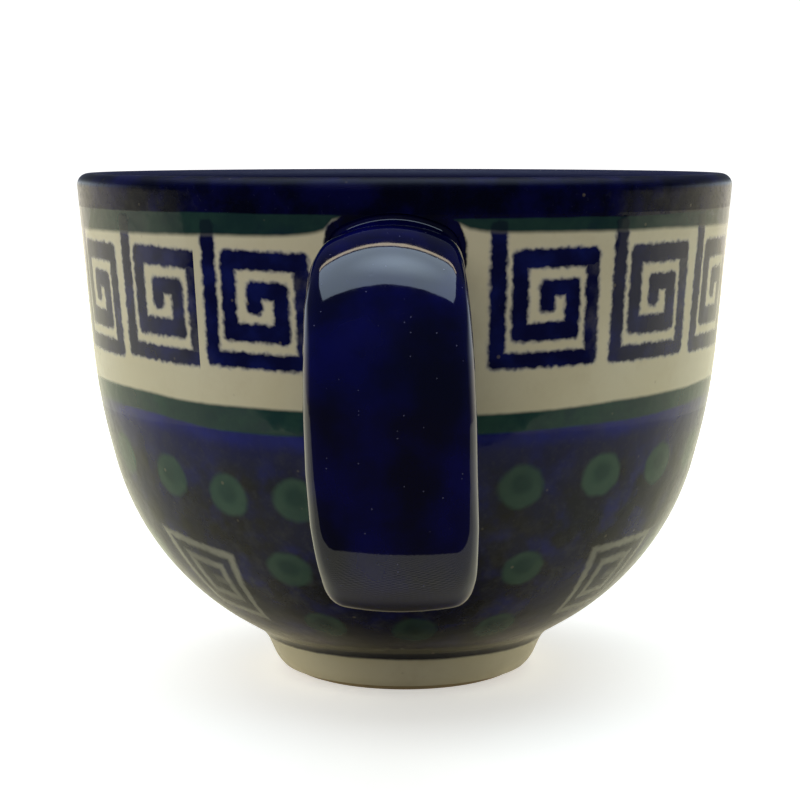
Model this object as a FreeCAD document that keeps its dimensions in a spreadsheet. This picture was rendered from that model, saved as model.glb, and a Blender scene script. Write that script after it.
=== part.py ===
import FreeCAD, Part

import math
import os

import Sketcher

# A stoneware mug with a wide strap handle, drawn in millimetres.
#
# +Z is up and the origin is the centre of the ring that the foot stands on.
# The handle lies on the -Y side. The clay is one turned body, one strap handle
# and the slip that joins the two. A glaze coat of even thickness lies over the
# clay, divided where its colours change, and leaves the foot ring bare.

V = FreeCAD.Vector

# alias: (value, meaning); lengths in millimetres, slopes in degrees from level
DIMENSIONS = {
    "glaze": (0.35, "thickness of the glaze coat"),
    "total_height": (89.15, "top of the clay lip above the foot ring"),
    "lip_circle": (55.7, "radius of the circle along the top of the lip"),
    "lip_round": (1.65, "rounded lip, half the thickness of the wall"),
    "wall_slope": (85.25, "slope of the straight upper wall"),
    "shoulder_slope": (75.85, "slope where the shoulder meets the bowl"),
    "shoulder_length": (3.0, "short straight between shoulder and bowl"),
    "bowl_slope": (31.6, "slope where the bowl meets the waist"),
    "bowl_length": (3.6, "short straight above the waist"),
    "shoulder_round": (106.6, "outside of the curve below the straight wall"),
    "bowl_round": (47.2, "outside of the bowl"),
    "waist_round": (7.85, "hollow between bowl and foot"),
    "foot_slope": (66.4, "side of the foot"),
    "foot_length": (2.0, "straight side of the foot"),
    "heel_round": (6.4, "rounded lower edge of the foot"),
    "ring_width": (2.4, "flat ring that the mug stands on"),
    "ring_round": (0.8, "inner edge of the foot ring"),
    "recess_lean": (22.0, "side of the recess, away from upright"),
    "recess_length": (1.0, "straight side of the recess"),
    "recess_round": (2.0, "corner of the recess"),
    "inner_shoulder_round": (103.3, "inside of the curve below the straight wall"),
    "inner_bowl_round": (43.9, "inside of the bowl"),
    "floor_height": (9.0, "inside floor above the foot ring"),
    "grip_width": (23.8, "width of the strap handle at the grip"),
    "root_width": (20.8, "width of the strap where it leaves the wall"),
    "tail_width": (18.8, "width of the strap where it meets the bowl"),
    "strap_edge": (2.6, "rounded edge of the strap"),
    "outer_dome": (26.0, "rounding across the strap's outer face"),
    "inner_dome": (40.0, "rounding across the strap's inner face"),
    "root_out": (54.5, "upper end of the strap's centre line, from the axis"),
    "root_up": (78.5, "upper end of the strap's centre line, above the foot"),
    "grip_out": (83.9, "outermost point of the centre line, from the axis"),
    "grip_up": (52.0, "outermost point of the centre line, above the foot"),
    "tail_out": (43.0, "lower end of the strap's centre line, from the axis"),
    "tail_up": (31.0, "lower end of the strap's centre line, above the foot"),
    "upper_bend": (16.0, "centre line of the strap's upper bend"),
    "grip_round": (95.0, "centre line of the grip"),
    "lower_bend": (11.0, "centre line of the strap's lower bend"),
    "slip_round": (3.0, "slip fillet between strap and body"),
    "patch_margin": (5.0, "glaze patch beyond the strap where it meets the body"),
    "rim_low": (83.9, "lower edge of the cobalt rim band"),
    "upper_green_low": (80.5, "lower edge of the upper green band"),
    "key_band_low": (53.3, "lower edge of the pale band with the key pattern"),
    "lower_green_low": (49.5, "lower edge of the lower green band"),
    "field_low": (9.8, "lower edge of the blue field"),
    "foot_glaze_low": (1.6, "edge of the glaze above the bare foot ring"),
    "recess_glaze_low": (1.2, "edge of the glaze inside the recess"),
    "handle_start": (58.2, "distance from the axis past which all glaze is the handle's"),
}

LEFT, RIGHT = 1, -1


def make_sheet(doc):
    sheet = doc.addObject("Spreadsheet::Sheet", "dims")
    for row, (alias, (value, meaning)) in enumerate(DIMENSIONS.items(), start=1):
        sheet.set(f"A{row}", alias)
        sheet.set(f"B{row}", str(value))
        sheet.set(f"C{row}", meaning)
        sheet.setAlias(f"B{row}", alias)
    doc.recompute()
    return sheet


def size(sheet, alias):
    return float(getattr(sheet, alias))


def towards(degrees):
    angle = math.radians(degrees)
    return V(math.cos(angle), math.sin(angle), 0)


def relate(sketch, kind, *where):
    """Adds a constraint that has no size."""
    sketch.addConstraint(Sketcher.Constraint(kind, *where))


def bind(sketch, formula, kind, *where):
    """Adds a constraint whose size follows a formula of the sheet's aliases."""
    row = sketch.addConstraint(Sketcher.Constraint(kind, *where))
    sketch.setExpression(f"Constraints[{row}]", formula)


class Outline:
    """A chain of straights and tangent arcs drawn in a sketch and bound to the sheet.

    The chain runs with the clay on its right. With coat 1 it is drawn one glaze
    thickness outside the clay: arcs that turn right grow, and those that turn left shrink.
    """

    def __init__(self, sketch, sheet, start, heading, coat):
        self.sketch = sketch
        self.sheet = sheet
        self.point = start
        self.heading = heading
        self.slope_formula = None
        self.coat = coat
        self.last = None

    def join(self, shape, first_end, last_end):
        edge = self.sketch.addGeometry(shape, False)
        if self.last is not None:
            relate(self.sketch, "Tangent", *self.last, edge, first_end)
        self.last = (edge, last_end)
        return edge

    def line(self, length):
        """A straight along the present heading.

        length is an alias to bind, or a number near the length that the rest will give.
        """
        bound = isinstance(length, str)
        run = size(self.sheet, length) if bound else length
        end = self.point + towards(self.heading) * run
        edge = self.join(Part.LineSegment(self.point, end), 1, 2)
        if self.slope_formula:
            slope = math.radians(self.heading)
            bind(self.sketch, self.slope_formula, "Angle", edge, slope)
        else:
            relate(self.sketch, "Horizontal", edge)
        if bound:
            bind(self.sketch, f"dims.{length}", "Distance", edge, run)
        self.point = end
        return edge

    def arc(self, alias, turn, base, slope=None):
        """An arc that turns to the heading base, plus the sheet's slope if one is named."""
        heading = base + (size(self.sheet, slope) if slope else 0)
        growth = -turn * self.coat
        radius = size(self.sheet, alias) + growth * size(self.sheet, "glaze")
        centre = self.point + towards(self.heading + 90 * turn) * radius
        begin = math.radians(self.heading - 90 * turn)
        end = math.radians(heading - 90 * turn)
        circle = Part.Circle(centre, V(0, 0, 1), radius)
        if turn == LEFT:
            edge = self.join(Part.ArcOfCircle(circle, begin, end), 1, 2)
        else:
            edge = self.join(Part.ArcOfCircle(circle, end, begin), 2, 1)
        formula = f"dims.{alias} + {growth} * dims.glaze"
        bind(self.sketch, formula, "Radius", edge, radius)
        self.point = centre + towards(heading - 90 * turn) * radius
        self.heading = heading
        self.slope_formula = f"({base} + dims.{slope}) * 1 deg" if slope else None
        return edge

    def place(self, edge, end, across=None, up=None):
        """Binds a point's distances from the sketch's origin."""
        point = self.sketch.getPoint(edge, end)
        if across:
            bind(self.sketch, across, "DistanceX", -1, 1, edge, end, point.x)
        if up:
            bind(self.sketch, up, "DistanceY", -1, 1, edge, end, point.y)

    def close_on_axis(self, first, last):
        """Joins the two open ends by a straight along the axis of revolution."""
        start = self.sketch.getPoint(*last)
        end = self.sketch.getPoint(*first)
        edge = self.sketch.addGeometry(Part.LineSegment(start, end), False)
        relate(self.sketch, "Coincident", *last, edge, 1)
        relate(self.sketch, "Coincident", edge, 2, *first)
        relate(self.sketch, "PointOnObject", edge, 1, -2)
        relate(self.sketch, "PointOnObject", edge, 2, -2)


WALL_GUESS = 27.0


def outside_of_mug(pen):
    """Carries an outline on from the top of the outer wall to the end of the heel."""
    pen.line(WALL_GUESS)
    pen.arc("shoulder_round", RIGHT, -180, "shoulder_slope")
    pen.line("shoulder_length")
    pen.arc("bowl_round", RIGHT, -180, "bowl_slope")
    pen.line("bowl_length")
    pen.arc("waist_round", LEFT, -180, "foot_slope")
    pen.line("foot_length")
    pen.arc("heel_round", RIGHT, -180)


def clay_outline(sketch, sheet, coat):
    """Half section of wall, floor and foot ring, anticlockwise from the floor's centre."""
    floor = size(sheet, "floor_height") + coat * size(sheet, "glaze")
    pen = Outline(sketch, sheet, V(0, floor, 0), 0, coat)
    floor_line = pen.line(size(sheet, "foot_length"))
    pen.arc("inner_bowl_round", LEFT, 0, "shoulder_slope")
    pen.line("shoulder_length")
    pen.arc("inner_shoulder_round", LEFT, 0, "wall_slope")
    pen.line(WALL_GUESS)
    lip = pen.arc("lip_round", RIGHT, -180, "wall_slope")
    outside_of_mug(pen)
    ring = pen.line("ring_width")
    pen.arc("ring_round", RIGHT, -270, "recess_lean")
    pen.line("recess_length")
    pen.arc("recess_round", LEFT, -180)
    ceiling = pen.line(pen.point.x)
    pen.close_on_axis((floor_line, 1), (ceiling, 2))
    pen.place(floor_line, 1, up=f"dims.floor_height + {coat} * dims.glaze")
    pen.place(lip, 3, "dims.lip_circle", "dims.total_height - dims.lip_round")
    pen.place(ring, 1, up=f"-{coat} * dims.glaze")


def filled_outline(sketch, sheet, coat):
    """Half section of the outside alone, filled to the axis and level at the lip."""
    top = size(sheet, "total_height") + coat * size(sheet, "glaze")
    pen = Outline(sketch, sheet, V(0, top, 0), 0, coat)
    top_line = pen.line(size(sheet, "lip_circle"))
    lip = pen.arc("lip_round", RIGHT, -180, "wall_slope")
    outside_of_mug(pen)
    base = pen.line(pen.point.x)
    pen.close_on_axis((top_line, 1), (base, 2))
    pen.place(lip, 3, "dims.lip_circle", "dims.total_height - dims.lip_round")
    pen.place(base, 1, up=f"-{coat} * dims.glaze")


def strap_path(sketch, sheet):
    """Centre line of the handle: level at both roots and upright at the grip's middle."""
    grip = V(-size(sheet, "grip_out"), size(sheet, "grip_up"), 0)
    root = V(-size(sheet, "root_out"), size(sheet, "root_up"), 0)
    tail = V(-size(sheet, "tail_out"), size(sheet, "tail_up"), 0)
    grip_centre = grip + V(size(sheet, "grip_round"), 0, 0)
    pen = Outline(sketch, sheet, root, 180, 0)
    leans = {}
    for end, bend in ((root, "upper_bend"), (tail, "lower_bend")):
        rise = abs(end.y - grip.y) - size(sheet, bend)
        reach = size(sheet, "grip_round") - size(sheet, bend)
        leans[bend] = math.degrees(math.asin(rise / reach))
    upper_reach = size(sheet, "grip_round") - size(sheet, "upper_bend")
    lean = math.radians(leans["upper_bend"])
    first = pen.line(root.x - grip_centre.x + upper_reach * math.cos(lean))
    pen.arc("upper_bend", LEFT, 270 - leans["upper_bend"])
    upper_grip = pen.arc("grip_round", LEFT, 270)
    pen.arc("grip_round", LEFT, 270 + leans["lower_bend"])
    pen.arc("lower_bend", LEFT, 360)
    last = pen.line(tail.x - pen.point.x)
    pen.place(first, 1, "-dims.root_out", "dims.root_up")
    pen.place(upper_grip, 2, "-dims.grip_out", "dims.grip_up")
    pen.place(upper_grip, 3, up="dims.grip_up")
    pen.place(last, 2, "-dims.tail_out", "dims.tail_up")


def strap_section(sketch, sheet, width, spread=None, outer_side=1):
    """Cross-section of the strap: two shallow domes joined by rounded edges.

    spread names how far the section is grown all round, if it is; outer_side is the
    direction in the sketch of the more strongly domed outer face.
    """
    grown = size(sheet, spread) if spread else 0
    growth = f" + dims.{spread}" if spread else ""
    edge = size(sheet, "strap_edge")
    centre = size(sheet, width) / 2 - edge
    faces, half_angles = {}, {}
    for alias, side in (("outer_dome", outer_side), ("inner_dome", -outer_side)):
        reach = size(sheet, alias) - edge
        half = math.asin(centre / reach)
        middle = V(0, -side * reach * math.cos(half), 0)
        circle = Part.Circle(middle, V(0, 0, 1), size(sheet, alias) + grown)
        crown = side * math.pi / 2
        arc = Part.ArcOfCircle(circle, crown - half, crown + half)
        faces[side] = sketch.addGeometry(arc, False)
        half_angles[side] = math.pi / 2 - half
        bind(sketch, f"dims.{alias}{growth}", "Radius", faces[side], circle.Radius)
    edges = {}
    for side, outward in ((1, 0), (-1, math.pi)):
        circle = Part.Circle(V(side * centre, 0, 0), V(0, 0, 1), edge + grown)
        start = outward - half_angles[-side]
        end = outward + half_angles[side]
        edges[side] = sketch.addGeometry(Part.ArcOfCircle(circle, start, end), False)
        bind(sketch, f"dims.strap_edge{growth}", "Radius", edges[side], circle.Radius)
    ring = [edges[1], faces[1], edges[-1], faces[-1]]
    for before, after in zip(ring, ring[1:] + ring[:1]):
        relate(sketch, "Tangent", before, 2, after, 1)
    relate(sketch, "PointOnObject", edges[1], 3, -1)
    relate(sketch, "Symmetric", edges[1], 3, edges[-1], 3, -1, 1)
    across = f"dims.{width} / 2 - dims.strap_edge"
    bind(sketch, across, "DistanceX", -1, 1, edges[1], 3, centre)


def add_sketch(body, name, plane, offset=(None, None, None)):
    """A sketch on one of the body's own planes, set off by formulas in the plane's axes."""
    sketch = body.newObject("Sketcher::SketchObject", name)
    planes = [p for p in body.Origin.OriginFeatures if p.Role == plane]
    sketch.AttachmentSupport = (planes[0], [""])
    sketch.MapMode = "FlatFace"
    for axis, formula in zip("xyz", offset):
        if formula:
            sketch.setExpression(f"AttachmentOffset.Base.{axis}", f"({formula}) * 1 mm")
    return sketch


def turned_body(doc, sheet, name, outline, coat):
    """A body turned about the mug's axis."""
    body = doc.addObject("PartDesign::Body", name)
    section = add_sketch(body, f"{name}_section", "XZ_Plane")
    outline(section, sheet, coat)
    turned = body.newObject("PartDesign::Revolution", f"{name}_turned")
    turned.Profile = section
    turned.ReferenceAxis = (section, ["V_Axis"])
    turned.Angle = 360
    return body


ROOT_PLACE = (None, "dims.root_up", "dims.root_out")
GRIP_PLACE = (None, "-dims.grip_out", "dims.grip_up")
TAIL_PLACE = (None, "dims.tail_up", "dims.tail_out")


def strap_body(doc, sheet, name, spread=None):
    """The whole strap, swept from inside the wall out and round to inside the bowl."""
    body = doc.addObject("PartDesign::Body", name)
    path = add_sketch(body, f"{name}_path", "YZ_Plane")
    strap_path(path, sheet)
    root = add_sketch(body, f"{name}_root", "XZ_Plane", ROOT_PLACE)
    strap_section(root, sheet, "root_width", spread)
    grip = add_sketch(body, f"{name}_grip", "XY_Plane", GRIP_PLACE)
    strap_section(grip, sheet, "grip_width", spread, outer_side=-1)
    tail = add_sketch(body, f"{name}_tail", "XZ_Plane", TAIL_PLACE)
    strap_section(tail, sheet, "tail_width", spread, outer_side=-1)
    swept = body.newObject("PartDesign::AdditivePipe", f"{name}_swept")
    swept.Profile = root
    swept.Spine = path
    swept.Transformation = "Multisection"
    swept.Sections = [(grip, [""]), (tail, [""])]
    return body


def patch_body(doc, sheet, name, place, outer_side):
    """A block round one root of the strap that bounds the handle's patch of glaze."""
    body = doc.addObject("PartDesign::Body", name)
    outline = add_sketch(body, f"{name}_outline", "XZ_Plane", place)
    strap_section(outline, sheet, "root_width", "patch_margin", outer_side)
    block = body.newObject("PartDesign::Pad", f"{name}_block")
    block.Profile = outline
    block.setExpression("Length", "dims.handle_start * 1 mm")
    return body


def combined(doc, name, kind, *shapes):
    """A boolean of document objects: MultiFuse or MultiCommon of all, or a Cut of two."""
    result = doc.addObject(f"Part::{kind}", name)
    if kind == "Cut":
        result.Base, result.Tool = shapes
    else:
        result.Shapes = list(shapes)
    return result


def slab(doc, name, low, high):
    """A disc wider than the mug between two heights given as formulas."""
    disc = doc.addObject("Part::Cylinder", name)
    disc.setExpression("Radius", "(dims.lip_circle + dims.bowl_round) * 1 mm")
    disc.setExpression("Height", f"({high} - ({low})) * 1 mm")
    disc.setExpression("Placement.Base.z", f"({low}) * 1 mm")
    return disc


def meeting_edges(fused, filled, strap):
    """Names of the edges along which the strap meets the body."""
    names = []
    for number, edge in enumerate(fused.Shape.Edges, start=1):
        middle = edge.valueAt((edge.FirstParameter + edge.LastParameter) / 2)
        point = Part.Vertex(middle)
        gaps = [part.Shape.Shells[0].distToShape(point)[0] for part in (filled, strap)]
        if max(gaps) < 1e-3:
            names.append(f"Edge{number}")
    return names


def blended(doc, name, filled, strap, radius):
    """The filled body and the strap as one, filleted where they meet."""
    fused = combined(doc, f"{name}_fused", "MultiFuse", filled, strap)
    body = doc.addObject("PartDesign::Body", name)
    body.BaseFeature = fused
    doc.recompute()
    fillet = body.newObject("PartDesign::Fillet", f"{name}_fillet")
    fillet.Base = (body.Group[0], meeting_edges(fused, filled, strap))
    fillet.setExpression("Radius", f"({radius}) * 1 mm")
    return body


def clay_parts(doc, sheet, filled, strap, whole):
    """The turned body, the strap cut to fit it, and the two slip joints."""
    body = turned_body(doc, sheet, "stoneware_body", clay_outline, 0)
    handle = combined(doc, "handle_strap", "Cut", strap, filled)
    unjoined = combined(doc, "unjoined_clay", "MultiFuse", filled, strap)
    slip = combined(doc, "slip", "Cut", whole, unjoined)
    middle = "dims.grip_up"
    above = slab(doc, "above_grip", middle, "dims.total_height")
    below = slab(doc, "below_grip", "0", middle)
    upper = combined(doc, "upper_handle_joint", "MultiCommon", slip, above)
    lower = combined(doc, "lower_handle_joint", "MultiCommon", slip, below)
    return [body, handle, upper, lower]


def handle_zone(doc, sheet):
    """All the space that belongs to the handle: beyond the body, and a patch at each root."""
    upper = patch_body(doc, sheet, "upper_patch", ROOT_PLACE, 1)
    lower_place = (None, "dims.tail_up", "dims.lip_circle - dims.bowl_round")
    lower = patch_body(doc, sheet, "lower_patch", lower_place, -1)
    beyond = doc.addObject("Part::Box", "beyond_body")
    for side in ("Length", "Width", "Height"):
        beyond.setExpression(side, "dims.total_height * 1 mm")
    beyond.setExpression("Placement.Base.x", "-dims.total_height / 2 * 1 mm")
    beyond.setExpression(
        "Placement.Base.y", "-(dims.handle_start + dims.total_height) * 1 mm"
    )
    return combined(doc, "handle_zone", "MultiFuse", upper, lower, beyond)


def glaze_parts(doc, sheet, body, filled, whole, whole_glazed):
    """The glaze coat, divided into the bands of its colours."""
    zone = handle_zone(doc, sheet)
    envelope = turned_body(doc, sheet, "glazed_body", clay_outline, 1)
    coat = combined(doc, "body_coat", "Cut", envelope, body)
    outside = combined(doc, "outside_coat", "Cut", whole_glazed, whole)
    outside_bands = combined(doc, "outside_bands", "Cut", outside, zone)
    rim_slab = slab(doc, "rim_slab", "dims.rim_low", "dims.total_height + 1")
    rim = combined(doc, "rim_coat", "MultiCommon", coat, rim_slab)
    parts = [combined(doc, "cobalt_rim_band", "Cut", rim, zone)]
    bands = (
        ("upper_green_band", "upper_green_low", "rim_low"),
        ("key_band_glaze", "key_band_low", "upper_green_low"),
        ("lower_green_band", "lower_green_low", "key_band_low"),
        ("dotted_field_glaze", "field_low", "lower_green_low"),
        ("foot_glaze", "foot_glaze_low", "field_low"),
    )
    for name, low, high in bands:
        cut = slab(doc, f"{name}_slab", f"dims.{low}", f"dims.{high}")
        parts.append(combined(doc, name, "MultiCommon", outside_bands, cut))
    inner_slab = slab(doc, "inner_slab", "dims.floor_height - 1", "dims.rim_low")
    parts.append(combined(doc, "inner_glaze", "MultiCommon", coat, filled, inner_slab))
    recess_slab = slab(doc, "recess_slab", "dims.recess_glaze_low", "dims.floor_height - 1")
    recess_slab.setExpression("Radius", "dims.lip_circle / 3 * 1 mm")
    parts.append(combined(doc, "base_glaze", "MultiCommon", coat, recess_slab))
    parts.append(combined(doc, "handle_glaze", "MultiCommon", outside, zone))
    return parts


def check(doc, parts):
    """Raises an error when a document object failed or a part isn't one sound solid."""
    failed = [o.Name for o in doc.Objects if {"Invalid", "Error"} & set(o.State)]
    if failed:
        raise RuntimeError(f"not computed: {failed}")
    for part in parts:
        shape = part.Shape
        if shape.isNull() or not shape.isValid() or len(shape.Solids) != 1:
            raise RuntimeError(f"{part.Label} isn't one valid solid")


def main():
    doc = FreeCAD.newDocument("mug")
    sheet = make_sheet(doc)
    filled = turned_body(doc, sheet, "filled_clay", filled_outline, 0)
    filled_glazed = turned_body(doc, sheet, "filled_glazed", filled_outline, 1)
    strap = strap_body(doc, sheet, "strap")
    strap_glazed = strap_body(doc, sheet, "strap_glazed", "glaze")
    whole = blended(doc, "whole_clay", filled, strap, "dims.slip_round")
    glazed_round = "dims.slip_round - dims.glaze"
    whole_glazed = blended(doc, "whole_glazed", filled_glazed, strap_glazed, glazed_round)
    parts = clay_parts(doc, sheet, filled, strap, whole)
    parts += glaze_parts(doc, sheet, parts[0], filled, whole, whole_glazed)
    doc.recompute()
    check(doc, parts)
    os.makedirs("parts", exist_ok=True)
    for part in parts:
        part.Shape.exportStep(f"parts/{part.Label}.step")
        box = part.Shape.optimalBoundingBox()
        print(part.Label, round(part.Shape.Volume, 1), box)


main()
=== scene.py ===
import math
import random

import bpy
import numpy as np
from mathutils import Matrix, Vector


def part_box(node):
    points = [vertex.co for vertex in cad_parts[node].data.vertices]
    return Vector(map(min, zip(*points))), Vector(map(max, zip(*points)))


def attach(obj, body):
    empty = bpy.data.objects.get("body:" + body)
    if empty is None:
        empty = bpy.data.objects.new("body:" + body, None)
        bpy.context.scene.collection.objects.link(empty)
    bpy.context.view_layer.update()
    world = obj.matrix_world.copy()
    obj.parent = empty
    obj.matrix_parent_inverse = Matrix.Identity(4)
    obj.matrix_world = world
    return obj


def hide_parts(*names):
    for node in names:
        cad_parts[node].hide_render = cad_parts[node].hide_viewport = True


# A stoneware mug: lathe-turned body, strap handle, and a pattern stamped and banded
# under clear glaze. Shapes are worked out in millimetres and stored in metres. Angles
# round the mug are in degrees, counted from the handle towards +X.

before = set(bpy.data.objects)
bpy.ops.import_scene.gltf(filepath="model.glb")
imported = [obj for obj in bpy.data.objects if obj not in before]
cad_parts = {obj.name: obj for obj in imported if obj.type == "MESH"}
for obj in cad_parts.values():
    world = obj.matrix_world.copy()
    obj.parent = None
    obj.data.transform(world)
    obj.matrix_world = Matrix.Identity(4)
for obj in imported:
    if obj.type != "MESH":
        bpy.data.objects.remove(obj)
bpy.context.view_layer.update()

MM = 0.001
GLAZE = 0.35
LEFT, RIGHT = 1, -1
FACES_ROUND = 360
SEAM = -165.5            # where the pattern's first and last marks meet, at the back
RNG = random.Random(7)

TOTAL_HEIGHT = round(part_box("stoneware_body")[1].z / MM, 2)
LIP_CIRCLE = 55.7
CLAY_WALL = 3.3
LIP_ROUND = CLAY_WALL / 2
FLOOR_HEIGHT = 9.0
# The outside's slopes in degrees, the clay's arcs between them and the straights after.
WALL_SLOPE, SHOULDER_SLOPE, BOWL_SLOPE, FOOT_SLOPE = 85.25, 75.85, 31.6, 66.4
SHOULDER_RADIUS, BOWL_RADIUS, WAIST_RADIUS, HEEL_RADIUS = 106.6, 47.2, 7.85, 6.4
SHOULDER_RUN, BOWL_RUN, WAIST_RUN = 3.0, 3.6, 2.0

BAND_NODES = {
    "rim": "cobalt_rim_band", "upper_green": "upper_green_band", "keys": "key_band_glaze",
    "lower_green": "lower_green_band", "field": "dotted_field_glaze", "foot": "foot_glaze",
}
# Height of each band's lower edge.
BANDS = {band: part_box(node)[0].z / MM for band, node in BAND_NODES.items()}


# ---------------------------------------------------------------- turned outline

class Outline:
    """Points along straights and tangent arcs, with the clay on the right."""

    def __init__(self, start, heading, step=0.5):
        self.x, self.z = start
        self.heading = heading
        self.step = step
        self.points = [start]

    def line(self, length):
        count = max(1, round(length / self.step))
        angle = math.radians(self.heading)
        x, z = self.x, self.z
        for i in range(1, count + 1):
            self.x = x + math.cos(angle) * length * i / count
            self.z = z + math.sin(angle) * length * i / count
            self.points.append((self.x, self.z))

    def arc(self, radius, turn, heading):
        side = math.radians(self.heading + 90 * turn)
        centre_x = self.x + math.cos(side) * radius
        centre_z = self.z + math.sin(side) * radius
        sweep = heading - self.heading
        count = max(4, round(math.radians(abs(sweep)) * max(radius, 4) / self.step))
        first = self.heading
        for i in range(1, count + 1):
            out = math.radians(first + sweep * i / count - 90 * turn)
            self.x = centre_x + math.cos(out) * radius
            self.z = centre_z + math.sin(out) * radius
            self.points.append((self.x, self.z))
        self.heading = heading


def below_wall(pen):
    """The outside from the end of the straight wall to the end of the heel."""
    pen.arc(SHOULDER_RADIUS + GLAZE, RIGHT, SHOULDER_SLOPE - 180)
    pen.line(SHOULDER_RUN)
    pen.arc(BOWL_RADIUS + GLAZE, RIGHT, BOWL_SLOPE - 180)
    pen.line(BOWL_RUN)
    pen.arc(WAIST_RADIUS - GLAZE, LEFT, FOOT_SLOPE - 180)
    pen.line(WAIST_RUN)
    pen.arc(HEEL_RADIUS + GLAZE, RIGHT, -180)


def outside_points():
    """The glazed outside, from the top of the lip to the level end of the heel."""
    trial = Outline((0, 0), WALL_SLOPE - 180)
    below_wall(trial)
    pen = Outline((LIP_CIRCLE, TOTAL_HEIGHT + GLAZE), 0)
    pen.arc(LIP_ROUND + GLAZE, RIGHT, WALL_SLOPE - 180)
    drop = pen.z + GLAZE + trial.z
    pen.line(drop / math.sin(math.radians(WALL_SLOPE)))
    below_wall(pen)
    return np.array(pen.points)


def below_inner_wall(pen):
    """The inside from the end of the straight wall to the edge of the level floor."""
    inset = CLAY_WALL + GLAZE
    pen.arc(SHOULDER_RADIUS - inset, LEFT, -SHOULDER_SLOPE)
    pen.line(SHOULDER_RUN)
    pen.arc(BOWL_RADIUS - inset, LEFT, 0)


def inside_points():
    """The glazed inside, from the top of the lip down to the centre of the floor."""
    trial = Outline((0, 0), -WALL_SLOPE)
    below_inner_wall(trial)
    pen = Outline((-LIP_CIRCLE, TOTAL_HEIGHT + GLAZE), 0)
    pen.arc(LIP_ROUND + GLAZE, RIGHT, -WALL_SLOPE)
    drop = pen.z - (FLOOR_HEIGHT + GLAZE) + trial.z
    pen.line(drop / math.sin(math.radians(WALL_SLOPE)))
    below_inner_wall(pen)
    pen.line(-pen.x)
    points = np.array(pen.points)
    points[:, 0] *= -1
    return points


def cut_at(points, height):
    """The points with one more where the outline passes a height."""
    for i in range(len(points) - 1):
        above, below = points[i], points[i + 1]
        if above[1] > height > below[1]:
            share = (above[1] - height) / (above[1] - below[1])
            return np.insert(points, i + 1, above + (below - above) * share, axis=0)
    return points


OUTSIDE = outside_points()
for band_low in BANDS.values():
    OUTSIDE = cut_at(OUTSIDE, band_low)
WALL = OUTSIDE[OUTSIDE[:, 1] > 0.5][::-1]


def wall_radius(height):
    """Radius of the glazed outside at a height."""
    return np.interp(height, WALL[:, 1], WALL[:, 0])


def wall_normal(point):
    """Outward normal of the glazed outside at a point on it."""
    x, y, z = point
    lean = (wall_radius(z + 0.2) - wall_radius(z - 0.2)) / 0.4
    out = np.array([x, y, -lean * math.hypot(x, y)])
    return out / np.linalg.norm(out)


# ---------------------------------------------------------------- meshes from grids

def turned(points):
    """A grid of points, one row for each outline point and one column for each angle."""
    angles = np.radians(SEAM + np.arange(FACES_ROUND) * 360 / FACES_ROUND)
    radius, height = points[:, :1], points[:, 1:]
    across = np.ones_like(angles)
    return np.stack([radius * np.sin(angles), -radius * np.cos(angles), height * across], axis=2)


def grid_normals(grid):
    """Unit normals of a grid whose columns close round on themselves."""
    along = np.gradient(grid, axis=0)
    around = np.roll(grid, -1, axis=1) - np.roll(grid, 1, axis=1)
    normals = np.cross(along, around)
    lengths = np.linalg.norm(normals, axis=2, keepdims=True)
    return normals / np.maximum(lengths, 1e-9)


def skin(name, grid, normals, material, flip=False, pole=None, marks=None):
    """A smooth mesh object over a closed grid, with the given normals at its vertices.

    pole is a last point that closes the grid's end, and marks is (position in the
    nearest mark at each face's corners, that mark's kind and shade).
    """
    rows, columns, _ = grid.shape
    vertices = grid.reshape(-1, 3) * MM
    index = np.arange(rows * columns).reshape(rows, columns)
    beside = np.roll(index, -1, axis=1)
    corners = [index[:-1], index[1:], beside[1:], beside[:-1]]
    faces = np.stack(corners, axis=2).reshape(-1, 4)
    if flip:
        faces = faces[:, ::-1]
    face_list = faces.tolist()
    vertex_normals = normals.reshape(-1, 3)
    if pole is not None:
        vertices = np.vstack([vertices, np.array(pole[0]) * MM])
        vertex_normals = np.vstack([vertex_normals, pole[1]])
        last = index[-1]
        fan = np.stack([last, np.full(columns, rows * columns), beside[-1]], axis=1)
        face_list += (fan[:, ::-1] if flip else fan).tolist()
    mesh = bpy.data.meshes.new(name)
    mesh.from_pydata(vertices.tolist(), [], face_list)
    mesh.polygons.foreach_set("use_smooth", [True] * len(mesh.polygons))
    if marks:
        places, kinds, shades = marks
        layer = mesh.uv_layers.new(name="mark")
        layer.data.foreach_set("uv", places.reshape(-1).astype(np.float32))
        for label, values in (("kind", kinds), ("shade", shades)):
            attribute = mesh.attributes.new(label, "FLOAT", "FACE")
            attribute.data.foreach_set("value", values.reshape(-1).astype(np.float32))
    mesh.update()
    mesh.normals_split_custom_set_from_vertices(vertex_normals.tolist())
    mesh.materials.append(material)
    piece = bpy.data.objects.new(name, mesh)
    bpy.context.scene.collection.objects.link(piece)
    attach(piece, "root")
    return piece


# ---------------------------------------------------------------- stamped marks

# Left edges of the tall strokes of the 16 keys, in degrees; how far each key runs
# downhill to the right, in millimetres over its width; and how far it is set up or down.
KEY_TOP = 82.5
KEY_FOOT = 60.2
KEY_WIDTH = 18.4
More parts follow.
